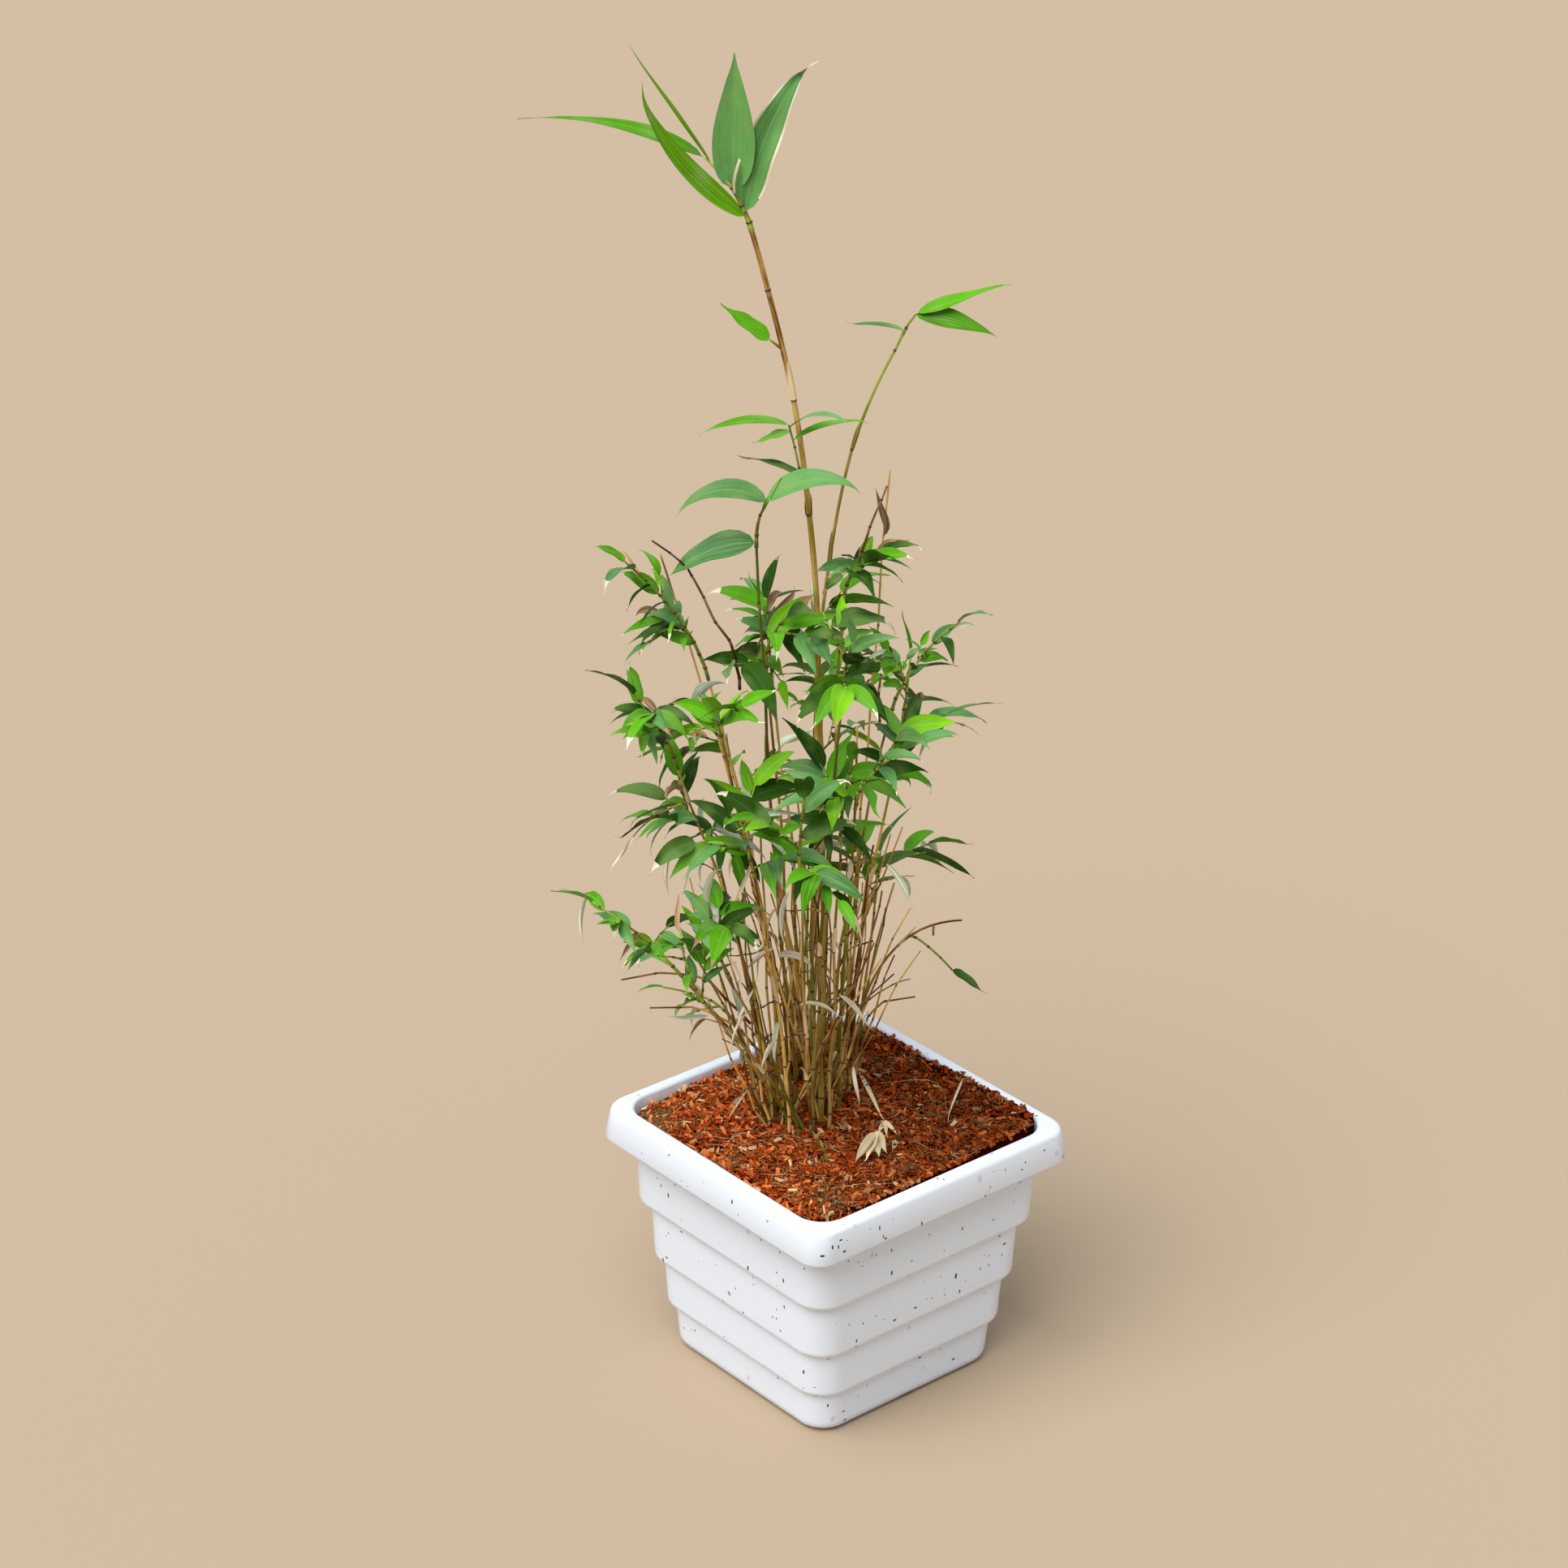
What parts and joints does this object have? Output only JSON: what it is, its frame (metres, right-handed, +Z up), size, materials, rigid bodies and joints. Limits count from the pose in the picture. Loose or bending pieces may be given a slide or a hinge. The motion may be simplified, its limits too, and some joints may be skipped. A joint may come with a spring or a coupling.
{
  "type": "potted bamboo",
  "caption": "Dwarf hedge bamboo in a square stepped white plastic planter filled with coir: thin leaning canes with loose sprays of narrow leaves.",
  "frame": {"origin": "middle of the pot's flat underside", "axes": "+Z up through the plant; X and Y square to the pot's sides, the pot's near corner in the usual view lies towards +X and -Y"},
  "size_m": [0.2583, 0.2862, 0.8184],
  "materials": {
    "pot_plastic": "white, satin gloss, finely flecked",
    "coir": "rough, fibrous chips",
    "cane": "smooth, dry, olive to tan",
    "dry_cane": "dull, dry, straw brown",
    "leaf": "satin green leaf, dry tips"
  },
  "bodies": {
    "root": {"pot": "pot_plastic", "coir_fill": "coir", "cane_tall": "cane", "cane_right_tall": "cane", "cane_left_tall": "cane", "cane_top_right": "cane", "cane_high_left": "cane", "cane_high_right": "cane", "cane_shoulder_left": "cane", "cane_front_high": "cane", "cane_shoulder_right": "cane", "cane_middle_left": "cane", "cane_low_right": "cane", "cane_low_left": "cane", "cane_front_left": "cane", "cane_top_left": "cane", "cane_top_front": "cane", "cane_top_back": "cane", "cane_front_mid_left": "cane", "cane_front_mid": "cane", "cane_middle": "cane", "cane_creeping_left": "cane", "cane_front_low": "cane", "cane_back_left": "cane", "cane_back": "cane", "cane_back_right": "cane", "cane_back_high": "cane", "cane_hooked_right": "cane", "tuft_left": "dry_cane", "tuft_front": "dry_cane", "tuft_back": "dry_cane", "tuft_right": "dry_cane", "leaves_tall_fan": "leaf", "leaves_right_tall": "leaf", "leaves_left_tall": "leaf", "leaves_tall_side": "leaf", "leaves_tall_mid": "leaf", "leaves_hook": "leaf", "leaves_high_left": "leaf", "leaves_high_right": "leaf", "leaves_top_right": "leaf", "leaves_shoulder_left": "leaf", "leaves_front_high": "leaf", "leaves_shoulder_right": "leaf", "leaves_middle_left": "leaf", "leaves_low_right": "leaf", "leaves_low_left": "leaf", "leaves_front_left": "leaf", "leaves_top_left": "leaf", "leaves_top_front": "leaf", "leaves_top_back": "leaf", "leaves_front_mid_left": "leaf", "leaves_front_mid": "leaf", "leaves_middle": "leaf", "leaves_creeping_left": "leaf", "leaves_front_low": "leaf", "leaves_back_left": "leaf", "leaves_back": "leaf", "leaves_back_right": "leaf", "leaves_back_high": "leaf"}
  },
  "joints": []
}
